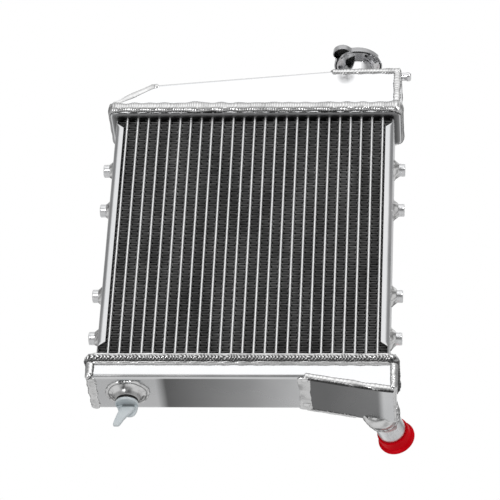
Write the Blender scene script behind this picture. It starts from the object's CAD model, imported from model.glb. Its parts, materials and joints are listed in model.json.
"""Looks of a welded aluminium car radiator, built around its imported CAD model."""

import json
import math
import random

import bmesh
import bpy
from mathutils import Matrix, Vector

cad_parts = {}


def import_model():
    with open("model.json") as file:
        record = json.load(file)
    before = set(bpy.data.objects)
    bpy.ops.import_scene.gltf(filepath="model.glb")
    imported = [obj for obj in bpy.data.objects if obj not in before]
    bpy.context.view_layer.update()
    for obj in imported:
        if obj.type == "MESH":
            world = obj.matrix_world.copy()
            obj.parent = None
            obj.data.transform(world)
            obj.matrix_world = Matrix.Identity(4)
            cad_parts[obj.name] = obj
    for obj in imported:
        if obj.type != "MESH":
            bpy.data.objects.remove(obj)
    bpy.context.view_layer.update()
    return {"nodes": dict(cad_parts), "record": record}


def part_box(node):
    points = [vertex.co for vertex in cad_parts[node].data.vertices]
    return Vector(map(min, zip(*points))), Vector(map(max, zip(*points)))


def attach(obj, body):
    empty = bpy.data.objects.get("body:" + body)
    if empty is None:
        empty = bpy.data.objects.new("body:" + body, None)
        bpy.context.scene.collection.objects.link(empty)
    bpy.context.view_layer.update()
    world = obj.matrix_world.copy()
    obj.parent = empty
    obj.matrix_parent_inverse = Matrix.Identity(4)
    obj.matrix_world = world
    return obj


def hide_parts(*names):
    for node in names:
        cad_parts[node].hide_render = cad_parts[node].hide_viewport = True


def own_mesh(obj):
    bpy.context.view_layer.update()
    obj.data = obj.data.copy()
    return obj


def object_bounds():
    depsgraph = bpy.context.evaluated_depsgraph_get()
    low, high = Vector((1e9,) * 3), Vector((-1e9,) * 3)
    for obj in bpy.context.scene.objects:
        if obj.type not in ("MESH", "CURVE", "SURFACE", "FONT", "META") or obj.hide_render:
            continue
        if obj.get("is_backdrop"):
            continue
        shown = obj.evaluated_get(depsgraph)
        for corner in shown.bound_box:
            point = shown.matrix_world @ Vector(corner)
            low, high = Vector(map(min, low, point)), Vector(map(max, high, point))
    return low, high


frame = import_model()
cad = frame["nodes"]
MM = 0.001
Z_AXIS = (0, 0, 1)


def box_mm(node):
    """Lowest and highest corner of a CAD node, in millimetres."""
    return [Vector(corner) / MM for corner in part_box(node)]


def named(rows, name):
    """The joint or mount of that name."""
    return next(row for row in rows if row["name"] == name)


# Places taken from the frame, in millimetres
joints = frame["record"]["behaviour"]["joints"]
mounts = frame["record"]["mounts"]
tank_low, tank_high = box_mm("bottom_tank_shell")
TANK_X, TANK_FRONT, TANK_BACK = tank_high.x, tank_low.y, tank_high.y
HEADER_LOW, HEADER_HIGH = box_mm("top_header")
NECK_PLATE_X = box_mm("neck_plate")[0].x
NECK_PLATE_Z = box_mm("neck_plate")[1].z
NECK_AT = Vector(named(joints, "cap_turn")["pos_m"]) / MM
DRAIN_AT = Vector(named(joints, "drain_turn")["pos_m"]) / MM
OVERFLOW_TIP = Vector(named(mounts, "overflow_spigot")["pos_m"]) / MM
WEDGE_X, _, WEDGE_END_Z = box_mm("outlet_box_plate")[0]
BOSS_X = box_mm("right_side_plate")[1].x
BOTTOM_Z = DRAIN_AT.z
SEAL_LOW = DRAIN_AT.z - box_mm("drain_o_ring")[0].z

# Sizes in millimetres, the same as in the part's source
CORE_HALF, PITCH, TUBE_T, FIN_STRIPS = 133.0, 10.0, 2.0, 26
SLANT_LOW, SLANT_HIGH = (-TANK_X, 148.5), (39.5 - TANK_X, 171.5)
WEDGE_BEND = (TANK_X - 14.5, BOTTOM_Z - 11.9)
OUTLET_AT = Vector((120.0, TANK_BACK, -156.0))
OUTLET_WAY = named(mounts, "outlet_hose")["axis"]
INLET_AT = Vector((70.4, TANK_BACK, 165.0))
INLET_WAY = named(mounts, "inlet_hose")["axis"]
BOSS_Y, BOSS_Z = 20.0, (-100.0, -54.0, 42.0, 88.0)
EAR_ANGLE, EAR_REACH, EAR_R, CAP_R = 231.0, 22.6, 9.0, 22.6
FOLD_R = 4.0
PRESSURE_WIRE, PRESSURE_CURLS = 1.4, 4
VACUUM_WIRE, VACUUM_CURLS = 0.6, 3

# Also in millimetres: fins a little further in than the part's, and a weld bore just clear of its pipes
FIN_FRONT, FIN_BACK = 0.6, 39.4
PIPE_R = 12.75

# Most of a noise texture's values lie between these
NOISE_LOW, NOISE_HIGH = 0.3, 0.7

# Darkest tone of a hollow, as a share of the colour outside it
HOLLOW_TONE = 0.03

# Largest angle between faces that are shaded as one, in degrees
SMOOTH, SMOOTH_EDGES, SMOOTH_FIN, SMOOTH_WELD = 40, 35, 50, 60


# Materials
def set_stops(node, stops):
    """Sets the (place, colour or grey) stops of a colour ramp node."""
    elements = node.color_ramp.elements
    while len(elements) < len(stops):
        elements.new(0.5)
    for element, (place, color) in zip(elements, stops):
        element.position = place
        element.color = (*color, 1) if isinstance(color, tuple) else (color, color, color, 1)


class Shader:
    """A principled material and short ways to add texture nodes to it."""

    def __init__(self, name, **sockets):
        self.material = bpy.data.materials.new(name)
        self.material.use_nodes = True
        self.tree = self.material.node_tree
        self.shader = self.tree.nodes["Principled BSDF"]
        for socket, value in sockets.items():
            label = socket.replace("_", " ").title().replace("Ior", "IOR")
            self.shader.inputs[label].default_value = value
        self.coords = self.add("TexCoord").outputs["Object"]

    def add(self, kind):
        return self.tree.nodes.new("ShaderNode" + kind)

    def link(self, a, b):
        self.tree.links.new(a, b)

    def noise(self, scale, stretch=(1, 1, 1), detail=4.0, rough=0.55):
        mapping = self.add("Mapping")
        mapping.inputs["Scale"].default_value = stretch
        self.link(self.coords, mapping.inputs["Vector"])
        node = self.add("TexNoise")
        node.inputs["Scale"].default_value = scale
        node.inputs["Detail"].default_value = detail
        node.inputs["Roughness"].default_value = rough
        self.link(mapping.outputs["Vector"], node.inputs["Vector"])
        return node.outputs["Fac"]

    def crest(self):
        """The point value that a piece's mesh carries: 0 in its hollows, 1 on its heights."""
        node = self.add("Attribute")
        node.attribute_name = "crest"
        return node.outputs["Fac"]

    def ramp(self, value, *stops):
        node = self.add("ValToRGB")
        set_stops(node, stops)
        self.link(value, node.inputs["Fac"])
        return node.outputs["Color"]

    def tone(self, value, dark, light):
        """Dark to light colour over the usual range of a noise."""
        return self.ramp(value, (NOISE_LOW, dark), (NOISE_HIGH, light))

    def hollows(self, tone):
        """The tone, darkened in the hollows of a piece."""
        return self.times(tone, self.ramp(self.crest(), (0.0, HOLLOW_TONE), (1.0, 1.0)))

    def span(self, value, low, high, start=NOISE_LOW, end=NOISE_HIGH):
        """Maps the range start to end of a value to the range low to high."""
        node = self.add("MapRange")
        limits = {"From Min": start, "From Max": end, "To Min": low, "To Max": high}
        for socket, number in limits.items():
            node.inputs[socket].default_value = number
        self.link(value, node.inputs["Value"])
        return node.outputs["Result"]

    def times(self, a, b, share=None):
        """Colour a multiplied by colour b, everywhere or by a share from 0 to 1."""
        node = self.add("Mix")
        node.data_type = "RGBA"
        node.blend_type = "MULTIPLY"
        node.inputs["Factor"].default_value = 1.0
        if share is not None:
            self.link(share, node.inputs["Factor"])
        self.link(a, node.inputs["A"])
        self.link(b, node.inputs["B"])
        return node.outputs["Result"]

    def part(self, vector, axis):
        """One axis of a vector."""
        node = self.add("SeparateXYZ")
        self.link(vector, node.inputs["Vector"])
        return node.outputs[axis]

    def color(self, value):
        self.link(value, self.shader.inputs["Base Color"])

    def rough(self, value):
        self.link(value, self.shader.inputs["Roughness"])

    def bump(self, *layers):
        """Adds (height, strength, distance) layers of relief."""
        normal = None
        for value, strength, distance in layers:
            node = self.add("Bump")
            node.inputs["Strength"].default_value = strength
            node.inputs["Distance"].default_value = distance
            self.link(value, node.inputs["Height"])
            if normal is not None:
                self.link(normal, node.inputs["Normal"])
            normal = node.outputs["Normal"]
        self.link(normal, self.shader.inputs["Normal"])


def sheet_metal(name, dark, light, low, high, stretch, tones=(), soot=None, sway=0.12):
    """Rolled aluminium: faint rolling lines, slow waves of the sheet and a few dull patches.

    tones gives (x, tone) stops for the duller stretches of its underside, soot the middle and reach
    of a smoky patch beside a weld, and sway how strong the waves are.
    """
    s = Shader(name, metallic=1.0)
    lines = s.noise(90, stretch, 3)
    patches = s.noise(14, detail=5)
    tone = s.tone(patches, dark, light)
    if tones:
        along = s.span(s.part(s.coords, "X"), 0, 1, -TANK_X * MM, TANK_X * MM)
        stops = [((x + TANK_X) / (2 * TANK_X), value) for x, value in tones]
        level, full = -0.85, -0.95
        under = s.span(s.part(s.add("NewGeometry").outputs["Normal"], "Z"), 0, 1, level, full)
        tone = s.times(tone, s.ramp(along, *stops), under)
    if soot:
        middle, reach = soot
        solid = 0.15 * reach
        far = s.add("VectorMath")
        far.operation = "DISTANCE"
        far.inputs[1].default_value = Vector(middle) * MM
        s.link(s.coords, far.inputs[0])
        near = s.span(far.outputs["Value"], 1, 0, solid * MM, reach * MM)
        smoke = s.ramp(s.noise(120, detail=6), (0.36, 0.05), (0.7, 0.75))
        tone = s.times(tone, smoke, near)
    s.color(tone)
    s.rough(s.span(patches, low, high))
    s.bump((lines, 0.05, 0.0004), (s.noise(9, detail=1), sway, 0.003))
    return s.material


def weld_metal():
    """Weld bead: bright scales, dark soot between them and in patches."""
    s = Shader("weld_bead", metallic=1.0, specular_tint=(0.4, 0.4, 0.4, 1))
    soot = s.noise(70, detail=6, rough=0.7)
    scales = s.ramp(s.crest(), (0.0, 0.04), (0.3, 0.25), (0.6, 0.7), (0.9, 0.97))
    s.color(s.times(scales, s.ramp(soot, (0.3, 0.55), (0.48, 0.92), (0.7, 1.0))))
    s.rough(s.span(soot, 0.34, 0.18))
    s.bump((s.noise(500, detail=4), 0.12, 0.0005))
    return s.material


def plain_metal(name, dark, light, low, high, scale=60, stretch=(1, 1, 1), bump=0.06, hollows=False):
    """Bare metal with a grain; hollows darkens the hollows that its mesh marks."""
    s = Shader(name, metallic=1.0)
    grain = s.noise(scale, stretch, 5)
    tone = s.tone(grain, dark, light)
    s.color(s.hollows(tone) if hollows else tone)
    s.rough(s.span(grain, low, high))
    s.bump((grain, bump, 0.0004))
    return s.material


def fin_metal():
    """Thin fin sheet with fine lines, dark inside its turns, whose tone changes by the strip."""
    s = Shader("fin_sheet", metallic=0.35, specular_ior_level=0.1)
    strips = s.ramp(s.noise(38, (1, 0.05, 0.25), 3), (0.32, 0.42), (0.68, 0.88))
    lines = s.noise(900, (0.05, 0.3, 1), 2)
    turns = s.ramp(s.crest(), (0.0, 0.0), (0.3, 0.1), (0.6, 0.46), (1.0, 1.0))
    lined = s.times(strips, s.ramp(lines, (0.35, 0.6), (0.65, 1.0)))
    s.color(s.times(lined, turns))
    s.rough(s.span(lines, 0.45, 0.6))
    s.bump((lines, 0.15, 0.0003))
    return s.material


def plastic(name, dark, light, low, high, gloss=0.35, hollows=False):
    """Moulded plastic: fine mould texture and slight colour change in the mass."""
    s = Shader(name, metallic=0.0, specular_ior_level=gloss)
    mass = s.noise(70, detail=4)
    tone = s.tone(mass, dark, light)
    s.color(s.hollows(tone) if hollows else tone)
    s.rough(s.span(mass, low, high))
    s.bump((s.noise(900, detail=3), 0.08, 0.0002))
    return s.material


GREY_SHEET = (0.84, 0.85, 0.86), (0.93, 0.93, 0.94), 0.2, 0.32, (0.06, 1, 3)
SHEET = sheet_metal("tank_sheet", *GREY_SHEET)
END = sheet_metal("end_sheet", *GREY_SHEET, sway=0.01)
SMOKED = sheet_metal("smoked_sheet", *GREY_SHEET, soot=((84.5, TANK_FRONT, 178.5), 9))
TROUGH = sheet_metal("trough_sheet", *GREY_SHEET, ((-76, 0.8), (-67, 0.17), (6, 0.48), (52, 0.85)))
WEDGE = sheet_metal("wedge_sheet", *GREY_SHEET, ((75, 0.21), (121, 0.32), (126, 1.0)))
TRAY = plain_metal(
    "tray_sheet", (0.8, 0.81, 0.82), (0.92, 0.92, 0.93), 0.24, 0.36, 90, (0.06, 1, 3), hollows=True,
)
PLATE = sheet_metal("pressed_sheet", (0.64, 0.65, 0.66), (0.76, 0.76, 0.77), 0.22, 0.36, (1, 1, 0.05))
WELD = weld_metal()
TUBE = plain_metal("tube_metal", (0.9, 0.9, 0.91), (0.98, 0.98, 0.98), 0.3, 0.45, 200, (3, 3, 0.3))
FIN = fin_metal()
TURNED = plain_metal("turned_metal", (0.74, 0.75, 0.76), (0.9, 0.9, 0.91), 0.2, 0.34, 300, (3, 1, 1))
CHROME = plain_metal("neck_chrome", (0.84, 0.84, 0.85), (0.9, 0.9, 0.91), 0.12, 0.18, 60, (1, 1, 4), 0.02)
CAP_SHELL = plain_metal(
    "cap_chrome", (0.5, 0.5, 0.51), (0.62, 0.62, 0.63), 0.1, 0.15, 40, bump=0.02, hollows=True,
)
CAP = plain_metal("cap_steel", (0.66, 0.66, 0.67), (0.78, 0.78, 0.79), 0.1, 0.16, 40, bump=0.03)
SPRING = plain_metal("spring_steel", (0.32, 0.32, 0.33), (0.48, 0.48, 0.49), 0.25, 0.4)
BRASS = plain_metal("valve_brass", (0.62, 0.45, 0.17), (0.78, 0.6, 0.28), 0.22, 0.38)
RUBBER = plastic("black_rubber", (0.008, 0.008, 0.008), (0.022, 0.022, 0.022), 0.5, 0.7)
PLUG = plastic("plug_plastic", (0.6, 0.66, 0.69), (0.74, 0.79, 0.81), 0.3, 0.42, hollows=True)
RED = plastic("red_plastic", (0.66, 0.0, 0.004), (0.8, 0.001, 0.012), 0.3, 0.38, 0.05)


# Mesh helpers
class Form:
    """Points in millimetres and faces, gathered from several rings and lofts."""

    def __init__(self):
        self.points, self.faces, self.crest = [], [], []

    def loft(self, rings, loop=False):
        """Skin over rings of equal counts, with closed ends or, as a loop, from the last to the first."""
        base, n = len(self.points), len(rings[0])
        for ring in rings:
            self.points += [tuple(p) for p in ring]
        for k in range(len(rings) if loop else len(rings) - 1):
            a, b = base + k * n, base + (k + 1) % len(rings) * n
            for j in range(n):
                i = (j + 1) % n
                self.faces.append((a + j, a + i, b + i, b + j))
        if not loop:
            self.faces.append(tuple(base + j for j in reversed(range(n))))
            last = base + (len(rings) - 1) * n
            self.faces.append(tuple(last + j for j in range(n)))

    def lathe(self, profile, place, sides=48, loop=False):
        """Turns (radius, height) pairs about the z axis of place."""
        self.loft([circle_path(place, r, h, steps=sides) for r, h in profile], loop)

    def piece(self, name, body, material, slot, replaced, smooth=SMOOTH):
        """Makes the object, which rides on a body and stands for the replaced nodes."""
        mesh = bpy.data.meshes.new(name)
        mesh.from_pydata([[c * MM for c in p] for p in self.points], [], self.faces)
        bm = bmesh.new()
        bm.from_mesh(mesh)
        bmesh.ops.recalc_face_normals(bm, faces=bm.faces)
        bm.to_mesh(mesh)
        bm.free()
        mesh.shade_smooth()
        mesh.set_sharp_from_angle(angle=math.radians(smooth))
        if self.crest:
            mesh.attributes.new("crest", "FLOAT", "POINT").data.foreach_set("value", self.crest)
        mesh.materials.append(material)
        obj = bpy.data.objects.new(name, mesh)
        bpy.context.scene.collection.objects.link(obj)
        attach(obj, body)
        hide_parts(*replaced)
        return obj

    def weld(self, name, *replaced):
        self.piece(name, "radiator", WELD, "weld_aluminium", replaced, SMOOTH_WELD)


def round_angles(count):
    """Even angles all the way round."""
    return [2 * math.pi * i / count for i in range(count)]


def polar(r, a, z):
    """Point at a distance r from the z axis, in direction a."""
    return Vector((r * math.cos(a), r * math.sin(a), z))


def at(point, z_axis=Z_AXIS):
    """Frame at a point whose z axis points along z_axis."""
    return Matrix.Translation(point) @ Vector(z_axis).to_track_quat("Z", "Y").to_matrix().to_4x4()


def waves(seed):
    """Smooth random function of one length, about -1 to 1."""
    rng = random.Random(seed)
    count, slowest, fastest, most_phase = 7, 0.03, 0.5, 6.28
    parts = [(rng.uniform(slowest, fastest), rng.uniform(0, most_phase)) for _ in range(count)]
    return lambda s: sum(math.sin(f * s + p) for f, p in parts) / (count / 2)


def lobes(seed):
    """Smooth random function of an angle, about -1 to 1."""
    rng = random.Random(seed)
    counts, most_phase = range(2, 8), 6.28
    parts = [(n, rng.uniform(0, most_phase)) for n in counts]
    return lambda a: sum(math.sin(n * a + p) for n, p in parts) / (len(counts) / 2)


def resample(path, step, closed):
    """Points at even steps along a path, each with its direction and distance from the start."""
    points = [Vector(p) for p in path] + ([Vector(path[0])] if closed else [])
    marks = [0.0]
    for a, b in zip(points, points[1:]):
        marks.append(marks[-1] + (b - a).length)
    fewest = 8
    count = max(fewest, round(marks[-1] / step))
    out, k = [], 0
    for i in range(count if closed else count + 1):
        s = marks[-1] * i / count
        while k < len(marks) - 2 and marks[k + 1] < s:
            k += 1
        run = points[k + 1] - points[k]
        out.append((points[k] + run * ((s - marks[k]) / run.length), run.normalized(), s))
    return out


def bead(
    form, path, r, facing=None, closed=False, seed=1, pitch=2.4, bow=0.9, wide=1.0, deep=0.24,
    lumps=(), sides=14, shine=1.0, edge=0.1, shade=0.0,
):
    """Weld bead along a path, built up from overlapping scales that bow along the run.

    It stands r high towards facing, or level and to the right of the run, and is wide times as wide.
    deep is the depth of the scales, lumps gives places, growth and reach of thicker spots, shine is
    how bright its crests are, edge the same for its edges, and shade how much duller it gets from its
    upper to its lower side.
    """
    sway, swell = waves(seed), waves(seed + 50)
    growth, drift, lean, start = 0.1, 0.5, 0.15, 0.3
    full, edge_rise, groove = 1.06, 2.2, 4.0
    steps_per_scale = 7
    step = pitch / steps_per_scale
    samples = resample(path, step, closed)
    rings = []
    for k, (point, run, s) in enumerate(samples):
        way = Vector(facing) if facing else run.cross(Vector(Z_AXIS))
        out = (way - run * way.dot(run)).normalized()
        side = run.cross(out)
        size = 1 + growth * swell(s)
        for place, more, reach in lumps:
            size += more * math.exp(-(((point - Vector(place)).length / reach) ** 2))
        if not closed:
            end = min(k, len(samples) - 1 - k)
            size *= math.sqrt(min(1.0, (end + start) * step / r))
        ring = []
        for a in round_angles(sides):
            up, aside = math.cos(a), math.sin(a)
            scale = (s / pitch + bow * aside ** 2 + lean * aside + drift * sway(s)) % 1
            crest = math.sin(math.pi * scale)
            height = r * size * (full - deep * (1 - crest))
            ring.append(point + height * (up * out + wide * aside * side))
            lit = shine * (edge + (1 - edge) * min(1.0, edge_rise * max(0.0, up)))
            form.crest.append(lit * (1 - shade * aside) * (1 - groove * deep * (1 - crest)))
        rings.append(ring)
    form.loft(rings, closed)


def dab(form, centre, way, r, height, seed=1):
    """Drop of weld on a surface: a low dome with an uneven outline."""
    place, wave, steps = at(centre, way), lobes(seed), 24
    uneven, foot_tone = 0.1, 0.25
    rings = []
    for tilt in (-20, 0, 20, 40, 60, 75, 88):
        t = math.radians(tilt)
        ring = []
        for a in round_angles(steps):
            reach = r * math.cos(t) * (1 + uneven * wave(a))
            ring.append(place @ polar(reach, a, height * math.sin(t)))
            form.crest.append(foot_tone if tilt <= 0 else 1.0)
        rings.append(ring)
    form.loft(rings)


def round_path(x, low_y, high_y, z, r, steps=6):
    """Rectangle with round corners, at one height."""
    path = []
    for cx, cy, start in (
        (x - r, low_y + r, -90),
        (x - r, high_y - r, 0),
        (r - x, high_y - r, 90),
        (r - x, low_y + r, 180),
    ):
        for i in range(steps + 1):
            a = math.radians(start + 90 * i / steps)
            path.append((cx + r * math.cos(a), cy + r * math.sin(a), z))
    return path


def circle_path(place, r, h, steps=40):
    """Circle about the z axis of place, at the height h."""
    return [tuple(place @ polar(r, a, h)) for a in round_angles(steps)]


# Welds
def header_beads():
    """Rope of weld round each header seam.

    The top one is flatter and smoother, with two dark gaps under it. The bottom one has a lip on each side.
    """
    front, back, corner = TANK_FRONT - 0.4, TANK_BACK + 0.4, 6
    form = Form()
    z = HEADER_HIGH.z
    lumps = [((x, y, z), 0.2, 6) for x in (-TANK_X, TANK_X) for y in (front, back)]
    lumps += [((-56, front, z), 0.35, 6), ((133, front, z), 0.3, 5)]
    seam = round_path(TANK_X, front, back, z, corner)
    bead(
        form, seam, 2.5, closed=True, seed=3, pitch=2.2, bow=0.5, wide=2.0, deep=0.1, lumps=lumps,
        sides=18, shine=0.85,
    )
    for start, stop in ((-63, -35), (59, 78)):
        gap = [(x, front + 0.9, z - 5.0) for x in (start, stop)]
        bead(form, gap, 1.5, (0, -1, 0), seed=5, pitch=3, wide=0.7, shine=0.06)
    form.weld("top_header_bead", "top_header_weld")

    form = Form()
    z = box_mm("bottom_header")[0].z + 1.1
    lumps = [((x, y, z), 0.2, 7) for x in (-TANK_X, TANK_X) for y in (front, back)]
    seam = round_path(TANK_X - 0.4, front, back, z, corner)
    bead(
        form, seam, 3.9, closed=True, seed=8, pitch=3.2, bow=1.2, wide=1.0, deep=0.3, lumps=lumps,
        sides=20, shine=0.95, shade=0.85,
    )
    for off, seed in ((-4.1, 9), (4.0, 10)):
        lip = round_path(TANK_X - 0.8, front + 0.4, back - 0.4, z + off, corner)
        bead(form, lip, 2.0, closed=True, seed=seed, pitch=4, deep=0.06, edge=0.3)
    form.weld("bottom_header_bead", "bottom_header_weld")


def top_tank_beads():
    """Smooth beads that lie nearly flush with the tank's walls."""
    form, low = Form(), HEADER_HIGH.z + 2
    for y, out, into in ((TANK_FRONT, -1, 1), (TANK_BACK, 1, -1)):
        y += 0.3 * into
        low_end = (SLANT_LOW[0] + 2.5, y + 0.6 * into, SLANT_LOW[1] - 1.5)
        high_end = (SLANT_HIGH[0] + 1.5, y + 0.6 * into, SLANT_HIGH[1] - 2.2)
        bead(form, [low_end, high_end], 1.3, (0, out, 0), seed=11, wide=2.6, deep=0.06, edge=0.6)
        dab(form, (SLANT_HIGH[0] + 2.4, y, SLANT_HIGH[1] - 2.6), (0, out, 0), 2.6, 1.3, seed=16)
        plate = [(NECK_PLATE_X - 1, y, NECK_PLATE_Z - 2.4), (TANK_X, y, NECK_PLATE_Z - 1.8)]
        bead(form, plate, 1.6, (0, out, 0.15), seed=12, pitch=3.0, bow=0.5, wide=2.0, deep=0.12, edge=0.5)
        edge = [(TANK_X - 3.4, y, low), (TANK_X - 3.4, y, NECK_PLATE_Z - 1)]
        bead(form, edge, 1.6, (0.1, out, 0), seed=13, pitch=2.8, bow=0.5, wide=2.2, deep=0.12, edge=0.5)
    for x, z, way, seed, inset in (
        (SLANT_HIGH[0], SLANT_HIGH[1] - 0.8, (-0.3, 0, 1), 14, 0.5),
        (NECK_PLATE_X, NECK_PLATE_Z - 0.6, Z_AXIS, 14, 0.5),
        (TANK_X - 2.4, NECK_PLATE_Z - 0.6, (0.2, 0, 1), 14, 0.5),
        (SLANT_LOW[0] + 0.6, SLANT_LOW[1] - 1, (-1, 0, 0.3), 15, 0.0),
    ):
        across = [(x, TANK_FRONT + inset, z), (x, TANK_BACK - inset, z)]
        bead(form, across, 1.9, way, seed=seed, wide=1.4, deep=0.14)
    form.weld("top_tank_beads", "top_tank_welds")


def bottom_tank_beads():
    """Thick melted beads at the ends of the trough."""
    form, high = Form(), -CORE_HALF - 9
    lumps = [((-TANK_X, TANK_FRONT, -147), 0.25, 5), ((-TANK_X, TANK_FRONT, BOTTOM_Z), 0.25, 5)]
    for y, out, inset in ((TANK_FRONT + 0.5, -1, 1.0), (TANK_BACK - 0.5, 1, 3.6)):
        left = [(2.2 - TANK_X, y, BOTTOM_Z + 1), (2.2 - TANK_X, y, high)]
        bead(form, left, 2.3, (-0.5, out, 0), seed=21, pitch=4, wide=1.5, deep=0.07, lumps=lumps)
        right = [(TANK_X - inset, y, WEDGE_END_Z + 1), (TANK_X - inset, y, high)]
        bead(form, right, 2.5, (0.7, out, 0), seed=22, pitch=3.4, bow=0.5, wide=1.5, deep=0.1, edge=0.5)
    under = [(3.4 - TANK_X, y, BOTTOM_Z + 0.5) for y in (TANK_FRONT + 1, TANK_BACK - 1)]
    bead(form, under, 1.9, (-0.15, 0, -1), seed=24, pitch=5, wide=2.1, deep=0.06, lumps=lumps, edge=0.6)
    for z, r in ((-144.5, 3.6), (-150.5, 3.0), (-156.5, 3.3)):
        dab(form, (1.6 - TANK_X, TANK_FRONT + 0.6, z), (-0.6, -1, 0), r, 2.6, seed=26)
    for y in (TANK_FRONT + 7, TANK_FRONT + 12, TANK_BACK - 8):
        dab(form, (6.6 - TANK_X, y, BOTTOM_Z - 0.1), (0, 0, -1), 1.7, 1.0, seed=25)
    form.weld("bottom_tank_beads", "bottom_tank_welds")


def outlet_box_beads():
    """Wide bright beads round the wedge, with a dark undercut along its front edge."""
    form = Form()
    front = [(WEDGE_X, BOTTOM_Z), WEDGE_BEND, (TANK_X - 1, WEDGE_END_Z)]
    seam = [(x, TANK_FRONT + 0.3, z + 2.4) for x, z in front]
    bead(form, seam, 1.5, (0, -1, 0), seed=31, pitch=4, bow=0.6, wide=2.1, deep=0.1)
    undercut = [(x, TANK_FRONT + 0.5, z - 0.2) for x, z in front]
    bead(form, undercut, 1.2, (0, -0.8, -1), seed=35, pitch=3.4, shine=0.1)
    back = [(WEDGE_X, TANK_BACK - 0.4, BOTTOM_Z + 0.6), (101.0, TANK_BACK - 0.4, -166.1)]
    bead(form, back, 1.4, (0, 0.3, -1), seed=32, pitch=4, wide=1.3, deep=0.1)
    across = [(WEDGE_X + 1, y, BOTTOM_Z + 0.6) for y in (TANK_FRONT, TANK_BACK)]
    bead(form, across, 2.0, (0, 0, -1), seed=33, pitch=5, bow=0.5, wide=3.4, deep=0.1, sides=20, shine=1.3)
    for y in (TANK_FRONT + 1.5, TANK_BACK - 10):
        dab(form, (WEDGE_X + 0.8, y, BOTTOM_Z - 1.2), (0, -0.2, -1), 3.2, 1.8, seed=36)
    end = [(TANK_X - 0.8, y, WEDGE_END_Z + 0.7) for y in (TANK_FRONT, TANK_BACK)]
    bead(form, end, 0.9, (0.3, 0, -1), seed=34, pitch=3.4, wide=1.2, deep=0.06, edge=1.0)
    form.weld("outlet_box_beads", "outlet_box_welds")


def boss_weld(form, place, seed):
    """Uneven fillet of weld round the root of a boss."""
    wave, drift = lobes(seed), lobes(seed + 9)
    rings, steps, inner = [], 48, 5.9
    ripples, fading, uneven, rippled = 8, 6, 0.1, 0.04
    profile = (
        (10.2, -0.3), (9.6, 0.9), (8.5, 1.8), (7.7, 2.9), (6.9, 4.0), (6.3, 4.9), (inner, 5.1),
        (inner, -0.3),
    )
    for k, (r, height) in enumerate(profile):
        fade, ring = max(0.0, 1 - k / fading), []
        for a in round_angles(steps):
            ripple = math.sin(ripples * a + 1.2 * k + 2 * drift(a))
            reach = r * (1 + fade * (uneven * wave(a) + rippled * ripple))
            ring.append(place @ polar(reach, a, height))
            form.crest.append(min(1.0, 0.8 + 0.4 * ripple))
        rings.append(ring)
    form.loft(rings, loop=True)


def ring_beads():
    """Beads round the bosses and the filler neck."""
    form = Form()
    for side in (-1, 1):
        for k, z in enumerate(BOSS_Z):
            boss_weld(form, at((side * BOSS_X, BOSS_Y, z), (side, 0, 0)), 40 + k + 4 * side)
    form.weld("boss_beads", "boss_welds")

    form = Form()
    lumps = [(NECK_AT + Vector((-13, -9, 1)), 0.6, 7)]
    run = circle_path(at(NECK_AT), 16.0, 0.9)
    bead(form, run, 2.3, Z_AXIS, closed=True, seed=51, pitch=2.6, lumps=lumps)
    form.weld("filler_neck_bead", "filler_neck_weld")


def pipe_weld(name, place, way, seed):
    """Built-up weld that runs from the tank's wall onto a hose pipe, not past the tank's end.

    Its profile has (radius, distance from the wall, sag underneath) points.
    """
    form, rings, steps, root, end = Form(), [], 80, -3.6, 22.0
    ripples, fading, uneven, rippled = 9, 11, 0.03, 0.02
    most_x = TANK_X - 0.4
    wave, drift = lobes(seed), lobes(seed + 1)
    profile = (
        (16.0, root, 0.0), (16.2, -1.8, 1.2), (16.4, 0.2, 2.2), (16.6, 2.4, 2.8), (16.3, 5.0, 2.7),
        (15.6, 8.0, 2.2), (15.2, 10.5, 1.6), (14.7, 13.0, 1.0), (14.4, 15.0, 0.6), (13.8, 17.5, 0.3),
        (13.4, 19.5, 0.1), (13.0, 21.2, 0.0), (PIPE_R + 0.05, end, 0.0), (PIPE_R, end, 0.0),
        (PIPE_R, root, 0.0),
    )
    for k, (r, along, sag) in enumerate(profile):
        fade, ring = max(0.0, 1 - k / fading), []
        for a in round_angles(steps):
            ripple = math.sin(ripples * a + 1.3 * k + 1.5 * drift(a))
            reach = r * (1 + fade * (uneven * wave(a) + rippled * ripple))
            reach += sag * max(0.0, -math.sin(a)) ** 2
            x = min(place.x + (along * way[0] + reach * math.cos(a)) / way[1], most_x)
            ring.append((x, place.y + along + fade * 0.8 * drift(a), place.z + reach * math.sin(a)))
            form.crest.append(min(1.0, 0.95 + 0.25 * ripple))
        rings.append(ring)
    form.loft(rings, loop=True)
    for k, (r, along) in enumerate(((15.9, 6.5), (15.2, 11.5), (14.2, 16.5))):
        run = circle_path(at(place, way), r - 1.2, along, steps=48)
        bead(
            form, run, 2.7, (0, -1, 0), closed=True, seed=seed + k, pitch=4.5, bow=0.6, wide=0.9, deep=0.14,
            edge=0.6,
        )
    form.weld(name.replace("weld", "bead"), name)


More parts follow.
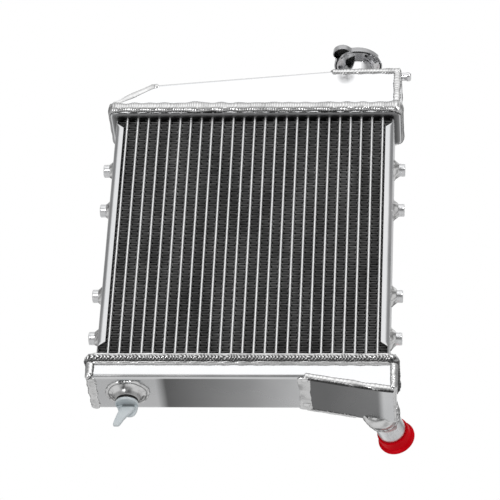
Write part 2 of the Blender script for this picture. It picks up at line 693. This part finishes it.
def drain_weld():
    """Wide, uneven mound of weld round the drain boss, with a thin raised rim that follows the fold."""
    form, rings, steps = Form(), [], 96
    ripples, fading, uneven, rippled = 15, 10, 0.04, 0.02
    edge_tone, top_tone, bore_tone = 0.25, 0.5, 0.6
    wave, drift = lobes(61), lobes(62)
    fold_y, inner, top, sunk = TANK_FRONT + FOLD_R, 9.1, 8.6, -0.4
    profile = [
        (19.8, sunk), (19.7, 0.8), (19.0, 1.6), (18.0, 1.7), (17.2, 1.0), (16.2, 0.8), (15.0, 1.4),
        (13.8, 2.6), (12.8, 4.1), (12.0, 5.7), (11.3, 7.1), (10.6, 8.1), (9.8, top),
    ]
    edge_rings, first_top_ring = (0, 4), 9
    for k, (r, depth) in enumerate(profile):
        fade, ring = max(0.0, 1 - k / fading), []
        for a in round_angles(steps):
            ripple = math.sin(ripples * a + 0.9 * k + 2 * drift(a))
            reach = r * (1 + fade * (uneven * wave(a) + rippled * ripple))
            y = DRAIN_AT.y + reach * math.sin(a)
            past = min(max(fold_y - y, 0.0), FOLD_R)
            lift = FOLD_R - math.sqrt(FOLD_R ** 2 - past ** 2)
            z = BOTTOM_Z + lift - depth - 0.25 * fade * ripple
            ring.append((DRAIN_AT.x + reach * math.cos(a), y, z))
            lit = top_tone if k >= first_top_ring else 0.9 + 0.35 * ripple * fade + 0.35 * wave(a)
            form.crest.append(edge_tone if k in edge_rings else min(lit, 1.0))
        rings.append(ring)
    for depth in (top, sunk):
        middle = at((DRAIN_AT.x, DRAIN_AT.y, BOTTOM_Z - depth))
        rings.append(circle_path(middle, inner, 0, steps=steps))
        form.crest += [bore_tone] * steps
    form.loft(rings, loop=True)
    form.weld("drain_boss_bead", "drain_boss_weld")


# Core and headers
def fins():
    """One strip between each pair of tubes: level sheets joined by round turns at the tube walls.

    The turns are dark inside and bright outside, and flat is the tone between them.
    """
    form, wave, sheet, flat, play = Form(), 5.3, 0.13, 0.6, 0.1
    half = (PITCH - TUBE_T) / 2 - play
    levels, bend, dark_l = int((2 * CORE_HALF - 1) / wave), wave / 4, 0.5
    tones = (-90, 0.1, 0.8), (-45, 0.0, 1.0), (0, 0.0, 1.0), (45, 0.0, 1.0), (90, 0.1, 0.8)
    turn = [(math.radians(a), inner, outer) for a, inner, outer in tones]
    for i in range(FIN_STRIPS):
        x, line = (i - (FIN_STRIPS - 1) / 2) * PITCH, []
        for k in range(2 * levels):
            z, side = (k - levels + 0.25) * wave / 2, 1 if k % 2 else -1
            near = x + side * (half - bend - dark_l)
            line.append((near, z, flat, flat, side))
            for a, inner, outer in turn:
                across, rise = half - bend + bend * math.cos(a), bend * (1 + math.sin(a))
                line.append((x + side * across, z + rise, inner, outer, side))
            line.append((near, z + 2 * bend, flat, flat, side))
        rings = []
        for k, (px, pz, inner, outer, side) in enumerate(line):
            before, after = line[max(k - 1, 0)], line[min(k + 1, len(line) - 1)]
            dx, dz = after[0] - before[0], after[1] - before[1]
            nx, nz = -dz * sheet / math.hypot(dx, dz), dx * sheet / math.hypot(dx, dz)
            rings.append([
                (px + nx, FIN_FRONT, pz + nz), (px - nx, FIN_FRONT, pz - nz),
                (px - nx, FIN_BACK, pz - nz), (px + nx, FIN_BACK, pz + nz),
            ])
            form.crest += [inner, outer, outer, inner] if side > 0 else [outer, inner, inner, outer]
        form.loft(rings)
    form.piece("corrugated_fins", "radiator", FIN, "fin_aluminium", ["cooling_fins"], SMOOTH_FIN)


def top_tray():
    """Pressed header tray with a round edge all the way down its rim."""
    form, sheet, corner, least_corner, edge_r = Form(), 2.0, 9.0, 0.4, 8.6
    low_tone, tone_rise = 0.12, 0.9
    low, high = HEADER_LOW.z + 2.2, HEADER_HIGH.z

    def rim(inset, z):
        r = max(corner - inset, least_corner)
        return round_path(HEADER_HIGH.x - inset, HEADER_LOW.y + inset, HEADER_HIGH.y - inset, z, r)

    outer, inner = [], []
    for step in range(10):
        t = math.radians(10 * step)
        outer.append((edge_r * (1 - math.cos(t)), low + edge_r * (1 - math.sin(t))))
        r = edge_r - sheet
        inner.append((sheet + r * (1 - math.cos(t)), low + sheet + r * (1 - math.sin(t))))
    profile = inner[::-1] + [(sheet, high), (0, high)] + outer
    for inset, z in profile:
        lit = min(1.0, low_tone + tone_rise * (z - low) / (high - low))
        form.crest += [lit] * len(rim(inset, z))
    form.loft([rim(inset, z) for inset, z in profile])
    form.piece("top_header_tray", "radiator", TRAY, "sheet_aluminium", ["top_header"], SMOOTH_EDGES)


def side_plates():
    """Bent channels beside the core, with a wide bend and chamfered flange ends."""
    bend, sheet, flange_x, web_x = 4.6, 1.5, 122.9, 129.0
    chamfer_top, chamfer_low, slope, crease, bend_steps = 127.5, -122.0, 4.6, 0.01, 8
    (_, low_y, _), (_, high_y, _) = box_mm("right_side_plate")
    levels = [
        (-CORE_HALF, web_x),
        (chamfer_low - crease, web_x),
        (chamfer_low, web_x),
        (chamfer_low + slope, flange_x),
        (chamfer_top - slope, flange_x),
        (chamfer_top, web_x),
        (chamfer_top + crease, web_x),
        (CORE_HALF, web_x),
    ]
    for side, node in ((-1, "left_side_plate"), (1, "right_side_plate")):
        form, rings = Form(), []
        for z, tip in levels:
            outer, inner = [(tip, low_y)], [(tip, low_y + sheet)]
            for cy, start in ((low_y + bend, -90), (high_y - bend, 0)):
                for step in range(bend_steps + 1):
                    a = math.radians(start + 90 * step / bend_steps)
                    for line, r in ((outer, bend), (inner, bend - sheet)):
                        line.append((max(tip, BOSS_X - bend + r * math.cos(a)), cy + r * math.sin(a)))
            outer.append((tip, high_y))
            inner.append((tip, high_y - sheet))
            rings.append([(side * x, y, z) for x, y in outer + inner[::-1]])
        form.loft(rings)
        name = node.replace("side", "bent_side")
        form.piece(name, "radiator", PLATE, "sheet_aluminium", [node], SMOOTH_EDGES)


def bosses():
    """Round bosses with a chamfered mouth and a thread of 1 mm pitch in a blind bore."""
    length, outer, crest, root, turns, mouth, centre = 10.5, 6.0, 2.75, 2.45, 9, 3.2, 0.2
    profile = [(outer, 0.0), (outer, length - 0.8), (outer - 0.25, length - 0.2), (outer - 0.7, length)]
    profile.append((mouth, length))
    for k in range(turns):
        profile += [(crest, length - 0.5 - k), (root, length - 1 - k)]
    profile += [(root, 1.5), (centre, 1.2), (centre, 0.0)]
    for side, node in ((-1, "mounting_bosses_left"), (1, "mounting_bosses_right")):
        form = Form()
        for z in BOSS_Z:
            form.lathe(profile, at((side * BOSS_X, BOSS_Y, z), (side, 0, 0)), sides=36, loop=True)
        name = node.replace("mounting_", "threaded_")
        form.piece(name, "radiator", TURNED, "turned_aluminium", [node], SMOOTH_EDGES)


def overflow_spigot():
    """Thin pipe with a welded root collar and a swelled tip that holds the hose."""
    form = Form()
    root, collar, bore, r = 14.6, 5.6, 2.5, 4.0
    tip = OVERFLOW_TIP.x - NECK_AT.x
    profile = [
        (bore, root), (collar, root), (collar, 16.9), (5.1, 17.5), (r, 17.65), (r, tip - 4.6),
        (r + 0.5, tip - 3.6), (r + 0.5, tip - 2.2), (r + 0.1, tip - 1.0), (r - 0.6, tip - 0.1),
        (bore, tip),
    ]
    place = at((NECK_AT.x, NECK_AT.y, OVERFLOW_TIP.z), (1, 0, 0))
    form.lathe(profile, place, sides=32, loop=True)
    form.piece(
        "overflow_spigot_pipe", "radiator", CHROME, "turned_aluminium", ["overflow_pipe"], SMOOTH_EDGES,
    )


# Filler cap
def cap_reach(a):
    """Distance of the cap's edge from its axis, in direction a from an ear."""
    reach, sharpness = [CAP_R], 26
    for turn in (0.0, math.pi):
        off = math.atan2(math.sin(a - turn), math.cos(a - turn))
        under = EAR_R ** 2 - (EAR_REACH * math.sin(off)) ** 2
        if abs(off) < math.pi / 2 and under > 0:
            reach.append(EAR_REACH * math.cos(off) + math.sqrt(under))
    return sum(v ** sharpness for v in reach) ** (1 / sharpness)


def filler_cap():
    """Pressed cap: dome, level ring, two hollow ears, a rolled skirt and the tangs that grip the neck.

    Its outside is bright and its inside dark. Rings are given by radius or by inset from the cap's edge.
    """
    form, sides, tang_steps, tang_half = Form(), 144, 10, 19
    turn = Matrix.Translation(NECK_AT) @ Matrix.Rotation(math.radians(EAR_ANGLE), 4, "Z")
    directions = round_angles(sides)
    edge = [cap_reach(a) for a in directions]
    rings = []

    def add_rings(profile, lit, inset=False):
        for size, z in profile:
            reach = [far - size for far in edge] if inset else [size] * sides
            rings.append([turn @ polar(r, a, z) for r, a in zip(reach, directions)])
            form.crest.extend([lit] * sides)

    dome = (
        (3.1, 32.6), (11.6, 32.6), (13.0, 32.4), (13.8, 31.9), (14.3, 31.2), (15.2, 30.85), (17.0, 30.8),
    )
    skirt = (
        (2.6, 30.8), (1.6, 30.65), (0.8, 30.2), (0.25, 29.5), (0.0, 28.6), (0.0, 25.9), (-0.25, 25.2),
        (-0.2, 24.7), (0.5, 24.5),
    )
    add_rings(dome, 1.0)
    add_rings(skirt, 1.0, inset=True)
    add_rings(((1.0, 24.8), (1.2, 25.5), (1.2, 29.2), (2.0, 29.6)), 0.0, inset=True)
    add_rings(((14.6, 29.6), (12.9, 29.8), (12.8, 31.4), (3.1, 31.4)), 0.0)
    form.loft(rings, loop=True)
    section = (
        (17.2, 23.0), (22.4, 23.0), (22.5, 23.6), (22.5, 27.0), (21.5, 27.0), (21.5, 24.5), (21.2, 24.2),
        (17.2, 24.2),
    )
    steps = range(tang_steps + 1)
    arcs = [math.radians(-tang_half + 2 * tang_half * k / tang_steps) for k in steps]
    for side in (90, 270):
        place = turn @ Matrix.Rotation(math.radians(side), 4, "Z")
        form.loft([[place @ polar(r, a, z) for r, z in section] for a in arcs])
        form.crest += [1.0] * (len(section) * len(arcs))
    form.piece("turn_cap", "filler_cap", CAP_SHELL, "cap_steel", ["cap_shell"], SMOOTH_EDGES)


def valve_spring(name, body, joint, wire, curls):
    """Coil for a joint's deforming node, which shortens towards its fixed end as the valve moves."""
    row = named(joints, joint)
    rule = row["deforming_nodes"][0]
    low, high = box_mm(rule["node"])
    half, steps, sides = wire / 2, 24, 10
    coil_r, rise = (high.x - low.x) / 2 - half, high.z - low.z - wire
    form, rings, up = Form(), [], Vector(Z_AXIS)
    for k in range(steps * curls + 1):
        out = polar(1, 2 * math.pi * k / steps, 0)
        z = low.z + half + rise * k / (steps * curls)
        middle = Vector((NECK_AT.x, NECK_AT.y, z)) + out * coil_r
        rings.append([
            middle + out * half * math.cos(t) + up * (half * math.sin(t)) for t in round_angles(sides)
        ])
    form.loft(rings)
    coil = form.piece(name, body, SPRING, "spring_steel", [rule["node"]])
    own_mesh(coil)


# Drain plug and push-on caps
def blade(form, head, sections, hollow=0.0, sides=32, square=0.6):
    """Upright blade under the plug's head from (depth, lean, y, half width, half thickness) sections.

    Down to the depth hollow its faces lie in a shaded recess.
    """
    rings, shaded, recess_half = [], 0.35, 0.75
    for depth, lean, y, w, t in sections:
        ring = []
        for a in round_angles(sides):
            c, s = math.cos(a), math.sin(a)
            x_off = w * math.copysign(abs(c) ** square, c)
            y_off = t * math.copysign(abs(s) ** square, s)
            ring.append(DRAIN_AT + Vector((lean + x_off, y + y_off, -head - depth)))
            form.crest.append(shaded if depth < hollow and abs(c) < recess_half else 1.0)
        rings.append(ring)
    form.loft(rings)


def drain_plug():
    """Threaded stem, thin dished head, bent thumb blade and a round wing behind it; then its seal."""
    form, stem_r, root_r, turn_l, centre = Form(), 5.2, 4.8, 1.5, 0.3
    head, stem_top = SEAL_LOW, DRAIN_AT.z - box_mm("drain_plug")[1].z
    profile = [(centre, stem_top), (root_r - 0.4, stem_top)]
    for k in range(int((head - stem_top) / turn_l)):
        profile += [(stem_r, stem_top + turn_l * (k + 0.3)), (root_r, stem_top + turn_l * (k + 0.8))]
    profile += [
        (stem_r, head), (9.8, head), (10.4, head + 0.3), (10.6, head + 0.8), (10.6, head + 1.7),
        (10.3, head + 2.3), (9.6, head + 2.5), (9.1, head + 2.1), (8.8, head + 1.1), (centre, head + 1.0),
    ]
    form.lathe(profile, Matrix.Translation(DRAIN_AT) @ Matrix.Rotation(math.pi, 4, "X"), sides=56)
    form.crest += [1.0] * len(form.points)
    thumb = (
        (0.6, 1.2, 2.4, 6.4, 1.2), (3.2, 1.2, 2.3, 6.5, 1.2), (4.6, 1.1, 1.3, 6.6, 2.3),
        (5.9, 0.7, 0.8, 6.6, 2.9), (8.7, -0.3, 0.5, 6.4, 2.6), (11.7, -2.1, 0, 5.7, 2.4),
        (14.7, -4.0, 0, 4.8, 2.3), (17.7, -5.6, 0, 4.1, 2.2), (20.7, -6.9, 0, 3.7, 2.1),
        (23.1, -7.7, 0, 3.2, 1.9), (24.1, -8.0, 0, 2.5, 1.5), (24.4, -8.1, 0, 1.3, 0.9),
    )
    wing = (
        (0.6, 0.4, 3.4, 9.3, 1.8), (4.0, 0.6, 3.4, 9.1, 1.8), (7.0, 0.9, 3.4, 8.3, 1.8),
        (9.5, 1.4, 3.4, 6.8, 1.7), (11.3, 2.0, 3.4, 5.0, 1.5), (12.4, 2.4, 3.4, 3.0, 1.1),
        (12.8, 2.6, 3.4, 1.2, 0.7),
    )
    blade(form, head, thumb, hollow=4.0)
    blade(form, head, wing)
    form.piece("thumb_plug", "drain_plug", PLUG, "plug_plastic", ["drain_plug"], SMOOTH_EDGES)

    form, ring_r, cord_r, play = Form(), 9.6, 0.87, 0.03
    turns = [math.radians(30 * k) for k in range(12)]
    section = [(ring_r + cord_r * math.cos(t), play + cord_r * (1 + math.sin(t))) for t in turns]
    form.lathe(section, Matrix.Translation(DRAIN_AT - Vector((0, 0, head))), sides=56, loop=True)
    form.piece("drain_seal_ring", "drain_seal", RUBBER, "black_rubber", ["drain_o_ring"])


def push_caps():
    """Caps with a sleeve over the pipe, a thick round rim and a sunk end."""
    profile = [
        (12.8, 41.5), (13.9, 41.3), (14.5, 41.8), (14.6, 42.6), (14.6, 51.0), (15.0, 51.8), (16.3, 52.1),
        (16.9, 52.7), (17.1, 53.6), (16.9, 54.7), (16.3, 55.3), (15.2, 55.5), (13.6, 55.5), (12.9, 55.0),
        (12.5, 54.0), (11.0, 53.8), (0.3, 53.8), (0.3, 52.4), (12.4, 52.4), (12.8, 51.6),
    ]
    for name, place, way in (("outlet_cap", OUTLET_AT, OUTLET_WAY), ("inlet_cap", INLET_AT, INLET_WAY)):
        form = Form()
        form.lathe(profile, at(place, way), sides=64, loop=True)
        form.piece(name.replace("cap", "push_cap"), name, RED, "red_plastic", [name])


header_beads()
top_tank_beads()
bottom_tank_beads()
outlet_box_beads()
ring_beads()
pipe_weld("outlet_pipe_weld", OUTLET_AT, OUTLET_WAY, 52)
pipe_weld("inlet_pipe_weld", INLET_AT, INLET_WAY, 54)
drain_weld()
fins()
top_tray()
side_plates()
bosses()
overflow_spigot()
filler_cap()
valve_spring("pressure_coil", "filler_cap", "pressure_valve_lift", PRESSURE_WIRE, PRESSURE_CURLS)
valve_spring("vacuum_coil", "pressure_valve", "vacuum_valve_drop", VACUUM_WIRE, VACUUM_CURLS)
drain_plug()
push_caps()

# CAD nodes that stay as they are get their materials here
for names, material in (
    ("top_tank_left_plate neck_plate bottom_tank_left_plate", SHEET),
    ("top_tank_right_plate bottom_tank_right_plate", END),
    ("top_tank_shell", SMOKED),
    ("bottom_tank_shell", TROUGH),
    ("outlet_box_plate", WEDGE),
    ("bottom_header", PLATE),
    ("core_tubes_front core_tubes_rear", TUBE),
    ("filler_neck", CHROME),
    ("drain_boss outlet_pipe inlet_pipe", TURNED),
    ("cap_diaphragm cap_bell cap_rivet", CAP),
    ("pressure_valve_plate vacuum_valve", BRASS),
    ("pressure_valve_seal", RUBBER),
):
    for name in names.split():
        cad[name].data.materials.clear()
        cad[name].data.materials.append(material)


# Stage
def floor():
    """Pale floor that only camera rays from above meet, because the photo's camera is under it."""
    s = Shader("floor", roughness=0.8)
    s.color(s.tone(s.noise(3), 0.86, 0.92))
    path, shown, mix = s.add("LightPath"), s.add("Math"), s.add("MixShader")
    shown.operation = "SUBTRACT"
    shown.use_clamp = True
    s.link(path.outputs["Is Camera Ray"], shown.inputs[0])
    s.link(s.add("NewGeometry").outputs["Backfacing"], shown.inputs[1])
    s.link(shown.outputs["Value"], mix.inputs["Fac"])
    s.link(s.add("BsdfTransparent").outputs["BSDF"], mix.inputs[1])
    s.link(s.shader.outputs["BSDF"], mix.inputs[2])
    s.link(mix.outputs["Shader"], s.tree.nodes["Material Output"].inputs["Surface"])
    mesh = bpy.data.meshes.new("floor")
    half, play = 3.0, 0.0005
    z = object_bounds()[0][2] - play
    corners = [(-half, -half, z), (half, -half, z), (half, half, z), (-half, half, z)]
    mesh.from_pydata(corners, [], [(0, 1, 2, 3)])
    mesh.materials.append(s.material)
    obj = bpy.data.objects.new("floor", mesh)
    bpy.context.scene.collection.objects.link(obj)
    obj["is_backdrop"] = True


def softbox(name, place, size, power):
    """Area lamp that points at the middle of the object."""
    lamp = bpy.data.lights.new(name, "AREA")
    lamp.shape = "RECTANGLE"
    lamp.size, lamp.size_y = size
    lamp.energy = power
    obj = bpy.data.objects.new(name, lamp)
    bpy.context.scene.collection.objects.link(obj)
    turn = (-Vector(place)).to_track_quat("-Z", "Y").to_matrix().to_4x4()
    obj.matrix_world = Matrix.Translation(place) @ turn


def world():
    """White for the camera; for light and reflections a grey studio that changes with height.

    The (height, grey) stops run from straight down at 0 to straight up at 1.
    """
    scene_world = bpy.data.worlds.new("studio")
    bpy.context.scene.world = scene_world
    scene_world.use_nodes = True
    tree = scene_world.node_tree
    tree.nodes.clear()
    add, link = tree.nodes.new, tree.links.new

    def span(value, start, end):
        node = add("ShaderNodeMapRange")
        node.inputs["From Min"].default_value = start
        node.inputs["From Max"].default_value = end
        link(value, node.inputs["Value"])
        return node.outputs["Result"]

    def mix_colors(share, a, b):
        node = add("ShaderNodeMix")
        node.data_type = "RGBA"
        for value, socket in ((share, "Factor"), (a, "A"), (b, "B")):
            link(value, node.inputs[socket])
        return node.outputs["Result"]

    def by_height(*stops):
        node = add("ShaderNodeValToRGB")
        set_stops(node, stops)
        link(span(split.outputs["Z"], -1, 1), node.inputs["Fac"])
        return node.outputs["Color"]

    split, aside = add("ShaderNodeSeparateXYZ"), add("ShaderNodeMath")
    link(add("ShaderNodeTexCoord").outputs["Generated"], split.inputs["Vector"])
    aside.operation = "ABSOLUTE"
    link(split.outputs["X"], aside.inputs[0])
    in_front = by_height(
        (0.0, 0.65), (0.1, 0.6), (0.2, 0.18), (0.4, 0.12), (0.5, 0.2), (0.6, 0.5), (0.68, 0.85),
        (0.85, 0.95), (1.0, 0.7),
    )
    behind = by_height(
        (0.0, 0.65), (0.1, 0.6), (0.22, 0.53), (0.3, 0.62), (0.38, 0.85), (0.48, 0.75), (0.56, 0.3),
        (0.62, 0.15), (0.72, 0.5), (0.82, 0.85), (1.0, 0.7),
    )
    beside = by_height((0.0, 0.65), (0.3, 0.6), (0.55, 0.6), (0.7, 0.25), (0.85, 0.28), (1.0, 0.7))
    ahead = mix_colors(span(split.outputs["Y"], -0.3, 0.3), in_front, behind)
    studio = mix_colors(span(aside.outputs["Value"], 0.4, 0.75), ahead, beside)
    around, seen = add("ShaderNodeBackground"), add("ShaderNodeBackground")
    mix = add("ShaderNodeMixShader")
    link(studio, around.inputs["Color"])
    seen.inputs["Color"].default_value = (1, 1, 1, 1)
    link(add("ShaderNodeLightPath").outputs["Is Camera Ray"], mix.inputs["Fac"])
    link(around.outputs["Background"], mix.inputs[1])
    link(seen.outputs["Background"], mix.inputs[2])
    link(mix.outputs["Shader"], add("ShaderNodeOutputWorld").inputs["Surface"])


def camera():
    """Long lens in front of, under and slightly to the right of the object, solved from the photo."""
    data = bpy.data.cameras.new("camera")
    data.lens = 214.8
    data.sensor_width = 36
    data.clip_end = 20
    obj = bpy.data.objects.new("camera", data)
    bpy.context.scene.collection.objects.link(obj)
    place = (0.2160, -2.2073, -1.5742)
    right = Vector((0.99688, 0.06545, 0.04417))
    ahead = Vector((-0.0789, 0.8145, 0.5747))
    turn = Matrix([right, right.cross(ahead), -ahead]).transposed().to_4x4()
    obj.matrix_world = Matrix.Translation(place) @ turn
    bpy.context.scene.camera = obj


floor()
softbox("front_box", (-0.15, -1.6, 1.15), (1.8, 1.3), 2.0)
softbox("top_box", (0.5, 1.2, 1.9), (1.6, 1.0), 4.0)
softbox("key_left", (-0.9, -1.9, -0.5), (0.3, 0.3), 8.0)
softbox("key_right", (1.1, -1.7, 0.2), (0.3, 0.3), 6.0)
world()
camera()
bpy.context.scene.view_settings.view_transform = "Standard"
